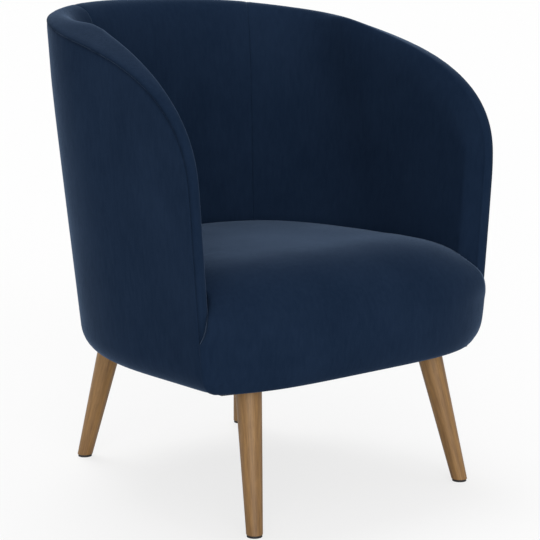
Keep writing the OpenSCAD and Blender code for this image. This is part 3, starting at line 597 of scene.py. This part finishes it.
# Below the crown, the seat's front corners reach out as ears in front of the arms: how far they do
# at each share of the seat's rise, how they bulge forward, and how their points are spread
EAR_RISE_SHARES = [0.0, 0.07, 0.12, 0.2, 0.3, 0.43, 0.55, 0.64, 0.72, 0.8, 1.0]
EAR_SHARES = [1.0, 0.93, 0.86, 0.78, 0.7, 0.62, 0.45, 0.26, 0.1, 0.0, 0.0]
EAR_BACK_SHARES = [0, 0.12, 0.25, 0.4, 0.55, 0.7, 0.85, 1]
EAR_SMOOTHING_SHARES = [-0.03, -0.015, 0.0, 0.015, 0.03]
EAR_BULGE, EAR_BULGE_POWER, EAR_TOP_SHARE = 7.0, 6, 0.85
EAR_STEP, HIDDEN_STEP, SMALL_EAR_SHARE = 0.03, 1.5, 0.1

# Places of the seat's points, from its middle to its corners and from its nose to its crown
BOW_SHARES = steps(0, 0.8, 17) + steps(0.82, 1, 10)
SEAT_SIDE_SHARES = steps(0.06, 0.94, 12)
SEAT_CORNER_ANGLES = steps(4, 86, 22)
ROLL_SHARES = steps(0, 0.9, 25) + [0.925, 0.95, 0.97, 0.985, 0.995, 1]
CROWN_SHARES = [0.985, 0.965] + steps(0.94, 0.08, 20)

# The skirt below the nose
SKIRT_ANGLES = steps(86, 0, 20)
SKIRT_PAD, SKIRT_CORNER_LIMIT, SKIRT_POWER = 20.0, -227.0, 4.5
SKIRT_TURN_SHARES, LINING_TURN_SHARES = (0.3, 1), (0.5, 1.05)
WRAP_STEP = 0.5
DECK_SIDE_SHARE, DECK_END_SHARE = 0.99, 0.02

# Unevenness of the seat's padding, which fades towards its lower, side and rear edges
SEAT_SLACK, SEAT_SLACK_LENGTH = 1.1, 150.0
EVEN_FOOT, EVEN_HALF, EVEN_REAR, EVEN_RUN = 15.0, 290.0, 200.0, 60.0


def ear_share(rise):
    """The ears' reach, with the corners of its table rounded."""
    if rise <= 0:
        return 1
    places = [max(0.0, rise + d) for d in EAR_SMOOTHING_SHARES]
    return float(np.mean(np.interp(places, EAR_RISE_SHARES, EAR_SHARES)))


def bow_y(x, nose, corner):
    return mix(nose, corner, (abs(x) / BOW_HALF) ** BOW_POWER)


def ear_bulge(x, rise):
    """How far the seat's front comes forward beside the arms."""
    swell = math.sin(math.pi * min(1.0, max(0.0, rise / EAR_TOP_SHARE)))
    return EAR_BULGE * swell * (abs(x) / BOW_HALF) ** EAR_BULGE_POWER


def roll_back(t):
    return SEAT_ROLL * (1 - max(0.0, 1 - t**ROLL_POWER) ** (1 / ROLL_POWER))


def seat_side(y, z):
    return (-(half_width(z) - pad_depth(y, z) - SEAT_GAP), y, z)


def arm_front(x, z):
    """How far back the seat may reach at x, in front of the rounded front of the arm."""
    depth = min(WALL, half_width(z) - abs(x))
    return ARM_Y - float(np.interp(depth, RIM_THIN[:, 0], RIM_THIN[:, 1])) - 2 * GAP


def seat_half(t):
    """The left half of the seat's ring at a share of its rise: front, ear, side and rear."""
    z, side_z = mix(NOSE_Z, SEAT_EDGE_Z, t), mix(PAD_FOOT, SEAT_EDGE_Z, t)
    in_half = half_width(z) - WALL - SEAT_GAP
    reach = ear_share(t)
    ear = mix(in_half, half_width(z), reach)
    front = []
    for s in BOW_SHARES:
        y = bow_y(ear * s, FRONT_Y, BOW_END) + roll_back(t) - ear_bulge(ear * s, t)
        if ear * s > in_half + GAP:
            y = min(y, arm_front(ear * s, z) - LEAST_STEP)
        front.append((-ear * s, y, z))
    apart = mix(HIDDEN_STEP, EAR_STEP, min(1.0, reach / SMALL_EAR_SHARE))
    back = []
    for k, share in enumerate(EAR_BACK_SHARES):
        x = mix(ear, in_half, share)
        y = max(arm_front(x, z), front[-1][1] + LEAST_STEP) + apart * k
        back.append((-x, y, z))
    start, corner = back[-1][1], corner_start(side_z)
    side = [seat_side(mix(start, corner, s), side_z) for s in SEAT_SIDE_SHARES]
    depth = WALL + SWELL + SEAT_GAP
    side += [round_point(a, side_z, depth) for a in SEAT_CORNER_ANGLES]
    return front + back + side + [round_point(90, side_z, depth)]


def whole_plan(half):
    """A ring from its left half, whose two ends lie on the middle line."""
    return half + [(-p[0], p[1], p[2]) for p in half[-2:0:-1]]


def lift(i, share, rise):
    """The crown's height at a ring's point: it carries on over the front and ends at the sides."""
    weight = share * (BOW_SHARES[i] if i < len(BOW_SHARES) else 1)
    return SEAT_CROWN * rise * rise * (1 - weight**CROWN_POWER)


def rear_lift(y, rise):
    return REAR_LIFT * rise * rise * ease((y - REAR_LIFT_START) / REAR_LIFT_RUN)


def seat_ring(t):
    """A ring of the seat's side, from the nose at 0 to the crown's edge at 1."""
    ring = []
    for i, (x, y, z) in enumerate(seat_half(t)):
        ring.append((x, y, z + lift(i, 1, t) + rear_lift(y, t)))
    return whole_plan(ring)


def crown_ring(share):
    """A ring of the seat's top, its edge drawn towards the middle."""
    ring = []
    for i, (x, y, z) in enumerate(seat_half(1)):
        y = mix(SEAT_CENTRE_Y, y, share)
        ring.append((x * share, y, z + lift(i, share, 1) + rear_lift(y, 1)))
    return whole_plan(ring)


def tuck_inset(z):
    if z > UNDERSIDE + TUCK_HEIGHT:
        return 0.0
    c = 1 - (z - UNDERSIDE) / TUCK_HEIGHT
    return TUCK_WIDTH * (1 - math.sqrt(max(0.0, 1 - min(1.0, c) ** 2)))


def skirt_rows(share, wrap):
    """The front below the nose: down its face, under the base, and back up inside.
    The wrap carries its ends round the corner to the side panels."""
    face, lining = [], []
    for a in SKIRT_ANGLES:
        r = math.radians(a)
        draw = 1 - math.sin(r)
        z = mix(UNDERSIDE, NOSE_Z, 1 - math.cos(r))
        x = share * (half_width(z) - tuck_inset(z))
        corner = min(SEAT_CORNER_Y + CORNER_DRAW * draw, SKIRT_CORNER_LIMIT)
        power = mix(BOW_POWER, SKIRT_POWER, draw)
        y = mix(FRONT_Y + NOSE_DRAW * draw, corner, abs(share) ** power)
        if wrap:
            y = max(y + WRAP_STEP, ARM_Y - 2 * GAP + CORNER_DRAW * draw)
        board = bow_y(x, FRAME_NOSE_Y, FRAME_CORNER_Y) - 4 * CLOTH
        inner_y = max(y + CLOTH, min(y + SKIRT_PAD * math.sin(r), board))
        face.append((x, y, z))
        lining.append((x * (1 - 2 * CLOTH / BOW_HALF), inner_y, z + CLOTH * math.cos(r)))
    x, y, z = face[-1]
    face += [(x, y + TURN_UNDER * s, z) for s in SKIRT_TURN_SHARES]
    x, y, z = lining[-1]
    lining += [(x, y + TURN_UNDER * s, z) for s in LINING_TURN_SHARES]
    return face + lining[::-1]


def build_seat():
    """Rings from the crown down to the nose, a skirt of chains below the front, and a flat deck."""
    rings = [crown_ring(s) for s in reversed(CROWN_SHARES)]
    rings += [seat_ring(t) for t in reversed(ROLL_SHARES)]
    m, low = len(rings[0]), len(rings) - 1
    front = len(BOW_SHARES) - 1
    turns = range(-front - 1, front + 2)
    places = [j % m for j in turns]
    shares = [(1 if j < 0 else -1) * BOW_SHARES[min(front, abs(j))] for j in turns]
    chains = [skirt_rows(s, abs(j) > front) for j, s in zip(turns, shares)]
    deck = [
        (x * DECK_SIDE_SHARE, mix(y, SEAT_CENTRE_Y, DECK_END_SHARE), DECK_Z)
        for x, y, _ in rings[low]
    ]
    for place, chain in zip(places, chains):
        x, y, _ = chain[-1]
        deck[place] = (x, y, DECK_Z)
    points = [p for ring in rings + [deck] for p in ring] + [(0, SEAT_CENTRE_Y, SEAT_Z)]
    centre, rows = len(points) - 1, len(chains[0])
    for chain in chains:
        points += chain
    faces = []
    for i in range(low + 1):
        for j in range(m):
            if i == low and not front + 1 <= j < m - front - 1:
                continue
            a, b = i * m + j, i * m + (j + 1) % m
            faces.append((a + m, b + m, b, a))
    faces += [(centre, j, (j + 1) % m) for j in range(m)]
    faces.append(tuple((low + 1) * m + j for j in range(m - 1, -1, -1)))
    faces += skirt_faces(places, low * m, (low + 1) * m, centre + 1, rows)
    return add_mesh("seat", settle(points), faces)


def skirt_faces(places, nose, deck, first, rows):
    """Faces of the skirt's chains, each from a nose point down and back up to a deck point."""
    lines = [
        [nose + place] + [first + i * rows + k for k in range(rows)] + [deck + place]
        for i, place in enumerate(places)
    ]
    faces = []
    for a, b in zip(lines[:-1], lines[1:]):
        faces += [(a[k + 1], b[k + 1], b[k], a[k]) for k in range(rows + 1)]
    return faces + [tuple(lines[0]), tuple(lines[-1][::-1])]


def settle(points):
    """Slight unevenness of the padding under the seat's velvet, away from its lower edges."""
    p = np.array(points, float)
    weight = np.clip((p[:, 2] - UNDERSIDE - EVEN_FOOT) / EVEN_RUN, 0, 1)
    weight[np.isclose(p[:, 2], DECK_Z)] = 0
    weight *= np.clip((EVEN_HALF - np.abs(p[:, 0])) / EVEN_RUN, 0, 1)
    weight *= np.clip((EVEN_REAR - p[:, 1]) / EVEN_RUN, 0, 1)
    away = p - np.array([0.0, SEAT_CENTRE_Y, NOSE_Z])
    away /= np.maximum(np.linalg.norm(away, axis=1, keepdims=True), TINY)
    wave = SEAT_SLACK * soft_waves(p, SEAT_SLACK_LENGTH, SEEDS["seat"])
    return (p + away * (wave * weight)[:, None]).tolist()


def fix_normals(obj):
    bpy.context.view_layer.objects.active = obj
    obj.select_set(True)
    bpy.ops.object.mode_set(mode="EDIT")
    bpy.ops.mesh.select_all(action="SELECT")
    bpy.ops.mesh.normals_make_consistent(inside=False)
    bpy.ops.object.mode_set(mode="OBJECT")
    obj.select_set(False)


# Nodes of the materials
NOISE_LOW, NOISE_HIGH = 0.3, 0.7


def new_material(name):
    material = bpy.data.materials.new(name)
    material.use_nodes = True
    tree = material.node_tree
    return material, tree, tree.nodes["Principled BSDF"]


def feed(tree, socket, value):
    """Links another node's output to a socket, or sets the socket's own value."""
    if isinstance(value, bpy.types.NodeSocket):
        tree.links.new(value, socket)
    else:
        socket.default_value = value


def add_node(tree, kind, inputs=None, **settings):
    node = tree.nodes.new(kind)
    for key, value in settings.items():
        setattr(node, key, value)
    for key, value in (inputs or {}).items():
        feed(tree, node.inputs[key], value)
    return node


def set_inputs(tree, shader, **values):
    """Feeds a shader's inputs, named with underscores for their spaces."""
    for key, value in values.items():
        feed(tree, shader.inputs[key.replace("_", " ")], value)


def colour_ramp(tree, value, stops):
    ramp = add_node(tree, "ShaderNodeValToRGB", {0: value})
    while len(ramp.color_ramp.elements) < len(stops):
        ramp.color_ramp.elements.new(0.5)
    for element, (at, colour) in zip(ramp.color_ramp.elements, stops):
        element.position = at
        element.color = (*colour, 1)
    return ramp.outputs["Color"]


def noise(tree, vector, scale, detail, rough):
    inputs = {"Vector": vector, "Scale": scale, "Detail": detail, "Roughness": rough}
    return add_node(tree, "ShaderNodeTexNoise", inputs).outputs["Fac"]


def stretched(tree, along=1.0, rotation=(0, 0, 0)):
    """Object coordinates, turned and then drawn out along Z."""
    where = add_node(tree, "ShaderNodeTexCoord").outputs["Object"]
    turned = add_node(tree, "ShaderNodeMapping", {"Vector": where, "Rotation": rotation})
    inputs = {"Vector": turned.outputs["Vector"], "Scale": (1, 1, along)}
    return add_node(tree, "ShaderNodeMapping", inputs).outputs["Vector"]


def ranged(tree, value, start, end, first=NOISE_LOW, last=NOISE_HIGH):
    """Maps a value that runs from first to last, as a noise does, to one from start to end."""
    inputs = {0: value, 1: first, 2: last, 3: start, 4: end}
    return add_node(tree, "ShaderNodeMapRange", inputs).outputs[0]


def blended(tree, a, b, share):
    return add_node(tree, "ShaderNodeMix", {0: share, 2: a, 3: b}).outputs[0]


def maths(tree, operation, a, b):
    return add_node(tree, "ShaderNodeMath", {0: a, 1: b}, operation=operation).outputs[0]


def scaled(tree, vector, scale):
    inputs = {0: vector, "Scale": scale}
    return add_node(tree, "ShaderNodeVectorMath", inputs, operation="SCALE").outputs[0]


def bumped(tree, height, strength, distance, normal=None):
    """A normal bumped by a height, with the distance in metres."""
    inputs = {"Height": height, "Strength": strength, "Distance": distance}
    if normal is not None:
        inputs["Normal"] = normal
    return add_node(tree, "ShaderNodeBump", inputs).outputs["Normal"]


# Materials
VELVET_DARK = (0.0072, 0.0155, 0.0343)
VELVET_LIGHT = (0.0112, 0.0224, 0.0472)
# The sheen's colour, painted into the velvet's base colour and also the tint of its real sheen; then the
# painted sheen's strength and how sharply it rises towards grazing angles
VELVET_SHEEN = (0.50, 0.69, 1.0)
SHEEN_REACH, SHEEN_POWER = 0.175, 5.0
OAK_DARK = (0.140, 0.066, 0.018)
OAK_LIGHT = (0.300, 0.160, 0.048)
PLYWOOD_DARK, PLYWOOD_LIGHT = (0.42, 0.30, 0.18), (0.60, 0.46, 0.30)
HARDBOARD_DARK, HARDBOARD_LIGHT = (0.20, 0.13, 0.07), (0.32, 0.22, 0.13)
BLACK_DARK, BLACK_LIGHT = (0.010, 0.010, 0.011), (0.022, 0.022, 0.024)
GLIDE_DARK, GLIDE_LIGHT = (0.006, 0.006, 0.006), (0.016, 0.016, 0.016)
STEEL = (0.55, 0.56, 0.58, 1)


def velvet_material():
    """Short pile with soft brush strokes: dark where it faces the eye, with a painted sheen added to its
    colour at grazing angles.
    """
    material, tree, shader = new_material("navy_velvet")
    patches = noise(tree, stretched(tree), scale=9.0, detail=3.0, rough=0.55)
    strokes = noise(tree, stretched(tree, along=0.25), scale=160.0, detail=4.0, rough=0.65)
    fibres = noise(tree, stretched(tree, along=0.5), scale=1300.0, detail=2.0, rough=0.7)
    mottle = blended(tree, blended(tree, patches, strokes, share=0.5), fibres, share=0.3)
    fine = bumped(tree, fibres, strength=0.35, distance=0.0004)
    soft = bumped(tree, strokes, strength=0.18, distance=0.0012, normal=fine)
    base = colour_ramp(tree, mottle, [(0.36, VELVET_DARK), (0.64, VELVET_LIGHT)])
    # Painted sheen: a pale blue added to the base colour where the surface turns away from the eye, made
    # uneven by the mottle
    facing = add_node(tree, "ShaderNodeLayerWeight", {"Blend": 0.5, "Normal": soft})
    grazing = maths(tree, "POWER", facing.outputs["Facing"], SHEEN_POWER)
    reach = maths(tree, "MULTIPLY", grazing, ranged(tree, mottle, start=0.75, end=1.25))
    painted_sheen = scaled(tree, tuple(SHEEN_REACH * c for c in VELVET_SHEEN), reach)
    whole = add_node(tree, "ShaderNodeVectorMath", {0: base, 1: painted_sheen}, operation="ADD").outputs[0]
    # Painted shade along the rim seam, read from the points' seam mark
    seam = add_node(tree, "ShaderNodeAttribute", attribute_name="seam").outputs["Fac"]
    painted_seam_shade = ranged(tree, seam, start=1.0, end=SEAM_SHADE, first=0.0, last=1.0)
    set_inputs(
        tree,
        shader,
        Base_Color=scaled(tree, whole, painted_seam_shade),
        Roughness=ranged(tree, mottle, start=0.98, end=0.86),
        Specular_IOR_Level=0.0,
        Sheen_Weight=0.05,
        Sheen_Roughness=0.3,
        Sheen_Tint=(*VELVET_SHEEN, 1),
        Normal=soft,
    )
    return material


def oak_material(name, rotation):
    """Straight grain along one leg, in bands, with fine dark pores."""
    material, tree, shader = new_material(name)
    grain = noise(tree, stretched(tree, 0.045, rotation), scale=420.0, detail=4.0, rough=0.62)
    bands = noise(tree, stretched(tree, 0.07, rotation), scale=95.0, detail=3.0, rough=0.5)
    pores = noise(tree, stretched(tree, 0.02, rotation), scale=1500.0, detail=2.0, rough=0.6)
    figure = blended(tree, grain, bands, share=0.5)
    colour = colour_ramp(tree, figure, [(0.33, OAK_DARK), (0.66, OAK_LIGHT)])
    set_inputs(
        tree,
        shader,
        Base_Color=scaled(tree, colour, ranged(tree, pores, start=0.72, end=1.0, last=0.42)),
        Roughness=ranged(tree, figure, start=0.58, end=0.42),
        Normal=bumped(tree, pores, strength=0.25, distance=0.0004),
        Coat_Weight=0.05,
        Coat_Roughness=0.35,
    )
    return material


def board_material(name, dark, light, scale):
    """Flecked board or cloth, for the frame and the black cloths."""
    material, tree, shader = new_material(name)
    flecks = noise(tree, stretched(tree, along=0.3), scale, detail=4.0, rough=0.6)
    set_inputs(
        tree,
        shader,
        Base_Color=colour_ramp(tree, flecks, [(0.35, dark), (0.65, light)]),
        Roughness=ranged(tree, flecks, start=0.85, end=0.7),
        Normal=bumped(tree, flecks, strength=0.2, distance=0.0005),
    )
    return material


def steel_material():
    material, tree, shader = new_material("zinc_steel")
    marks = noise(tree, stretched(tree), scale=300.0, detail=4.0, rough=0.6)
    set_inputs(
        tree,
        shader,
        Base_Color=STEEL,
        Roughness=ranged(tree, marks, start=0.3, end=0.5),
        Metallic=1.0,
    )
    return material


def glide_material():
    material, tree, shader = new_material("black_glide")
    grain = noise(tree, stretched(tree), scale=700.0, detail=3.0, rough=0.6)
    set_inputs(
        tree,
        shader,
        Base_Color=colour_ramp(tree, grain, [(0.3, GLIDE_DARK), (0.7, GLIDE_LIGHT)]),
        Roughness=ranged(tree, grain, start=0.5, end=0.7),
    )
    return material


def paint(obj, material):
    obj.data.materials.clear()
    obj.data.materials.append(material)


def paint_nodes(nodes, material):
    for node in nodes:
        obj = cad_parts[node]
        if not obj.material_slots:
            obj.data.materials.append(material)
        for slot in obj.material_slots:
            slot.material = material


# Dressing the chair: the velvet pieces take the place of the covers and the foam
PLYWOOD_NODES = [
    "base_ring", "seat_ring", "front_rail", "rear_spacer", "left_spacer", "right_spacer",
    "left_front_post", "right_front_post", "left_arm_rail", "right_arm_rail", "back_rail",
    "left_side_rib", "right_side_rib", "left_corner_rib", "right_corner_rib",
    "left_back_rib", "right_back_rib", "front_left_leg_block", "front_right_leg_block",
    "rear_left_leg_block", "rear_right_leg_block",
]
HARDBOARD_NODES = ["outer_board", "lining_board", "front_board"]
STEEL_NODES = [
    "seat_springs", "spring_clips", "clip_nails", "leg_bolts", "leg_nuts", "frame_screws",
]

# The legs' slopes along X and Y, and the turns of their grain in radians
LEG_SLOPE_X, LEG_SLOPE_Y = 0.134, 0.228
GRAIN_TURN_SIDE, GRAIN_TURN_END = 0.4, 0.9


def dress(obj, nodes, velvet):
    fix_normals(obj)
    paint(obj, velvet)
    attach(obj, "root")
    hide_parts(*nodes)


def dress_chair():
    velvet = velvet_material()
    left, right, back = build_inside()
    dress(left, ["inside_left_cover"], velvet)
    dress(right, ["inside_right_cover"], velvet)
    dress(back, ["inside_back_cover", "wall_foam"], velvet)
    for piece, (flat, area) in zip(*build_outside()):
        dress(piece, [piece.name + "_cover"], velvet)
    dress(build_seat(), ["seat_cover", "seat_foam", "front_foam"], velvet)


def paint_legs():
    """Oak whose grain runs down each splayed leg, and lies differently on each."""
    splay_x, splay_y = math.atan(LEG_SLOPE_X), math.atan(LEG_SLOPE_Y)
    for side, sx in (("left", -1), ("right", 1)):
        for end, sy in (("front", -1), ("rear", 1)):
            turn = GRAIN_TURN_SIDE * sx + GRAIN_TURN_END * sy
            oak = oak_material(f"oak_{end}_{side}", (-sy * splay_y, sx * splay_x, turn))
            paint_nodes([f"{end}_{side}_leg"], oak)


def paint_frame():
    plywood = board_material("plywood", PLYWOOD_DARK, PLYWOOD_LIGHT, scale=60.0)
    hardboard = board_material("hardboard", HARDBOARD_DARK, HARDBOARD_LIGHT, scale=240.0)
    cloth = board_material("black_cloth", BLACK_DARK, BLACK_LIGHT, scale=900.0)
    paint_nodes(PLYWOOD_NODES, plywood)
    paint_nodes(HARDBOARD_NODES, hardboard)
    paint_nodes(["dust_cover", "spring_cloth"], cloth)
    paint_nodes(STEEL_NODES, steel_material())
    paint_nodes(["glides"], glide_material())


# The stage: a white floor and world, and two soft suns
FLOOR_HALF, FLOOR_COLOUR, FLOOR_WHITENESS = 60000.0, (0.97, 0.97, 0.97, 1), 0.72
WHITE, SKY_LIGHT = (1, 1, 1, 1), 0.56
KEY_SUN = {"direction": (-0.14, -0.40, -1.0), "strength": 1.0, "angle": 34}
FILL_SUN = {"direction": (0.52, 0.83, -0.16), "strength": 2.2, "angle": 60}

# The camera, with its place and its reach in metres
CAMERA_PLACE, CAMERA_TURN = (-1.7700, -2.1418, 0.8388), (79.92, 0.0, -40.0)
CAMERA_LENS, CAMERA_SENSOR, CAMERA_REACH = 113.33, 36.0, 200.0


def build_floor():
    """A white floor: seen directly it is whitened, which leaves the chair's shadow pale."""
    material, tree, shader = new_material("studio_floor")
    set_inputs(tree, shader, Base_Color=FLOOR_COLOUR, Roughness=1.0, Specular_IOR_Level=0.0)
    painted_sheen = add_node(tree, "ShaderNodeEmission", {"Color": WHITE, "Strength": 1.0})
    seen = add_node(tree, "ShaderNodeLightPath").outputs["Is Camera Ray"]
    share = maths(tree, "MULTIPLY", seen, FLOOR_WHITENESS)
    inputs = {0: share, 1: shader.outputs[0], 2: painted_sheen.outputs[0]}
    surface = add_node(tree, "ShaderNodeMixShader", inputs).outputs[0]
    tree.links.new(surface, tree.nodes["Material Output"].inputs["Surface"])
    corners = [(-1, -1), (1, -1), (1, 1), (-1, 1)]
    points = [(FLOOR_HALF * x, FLOOR_HALF * y, 0) for x, y in corners]
    floor = add_mesh("floor", points, [(0, 1, 2, 3)], smooth=False)
    paint(floor, material)


def build_world():
    """A world that is seen as white, and lights the chair less strongly than that."""
    world = bpy.data.worlds.new("studio")
    bpy.context.scene.world = world
    world.use_nodes = True
    tree = world.node_tree
    seen = add_node(tree, "ShaderNodeLightPath").outputs["Is Camera Ray"]
    strength = ranged(tree, seen, start=SKY_LIGHT, end=1.0, first=0.0, last=1.0)
    set_inputs(tree, tree.nodes["Background"], Color=WHITE, Strength=strength)


def sun(name, direction, strength, angle):
    data = bpy.data.lights.new(name, "SUN")
    data.energy = strength
    data.angle = math.radians(angle)
    lamp = bpy.data.objects.new(name, data)
    bpy.context.scene.collection.objects.link(lamp)
    lamp.rotation_euler = Vector(direction).to_track_quat("-Z", "Y").to_euler()


def build_camera():
    data = bpy.data.cameras.new("camera")
    data.sensor_width = CAMERA_SENSOR
    data.lens = CAMERA_LENS
    data.clip_end = CAMERA_REACH
    camera = bpy.data.objects.new("camera", data)
    bpy.context.scene.collection.objects.link(camera)
    camera.location = CAMERA_PLACE
    camera.rotation_euler = [math.radians(a) for a in CAMERA_TURN]
    bpy.context.scene.camera = camera


dress_chair()
paint_legs()
paint_frame()
build_floor()
build_world()
sun("key", **KEY_SUN)
sun("fill", **FILL_SUN)
build_camera()
bpy.context.scene.view_settings.view_transform = "Standard"

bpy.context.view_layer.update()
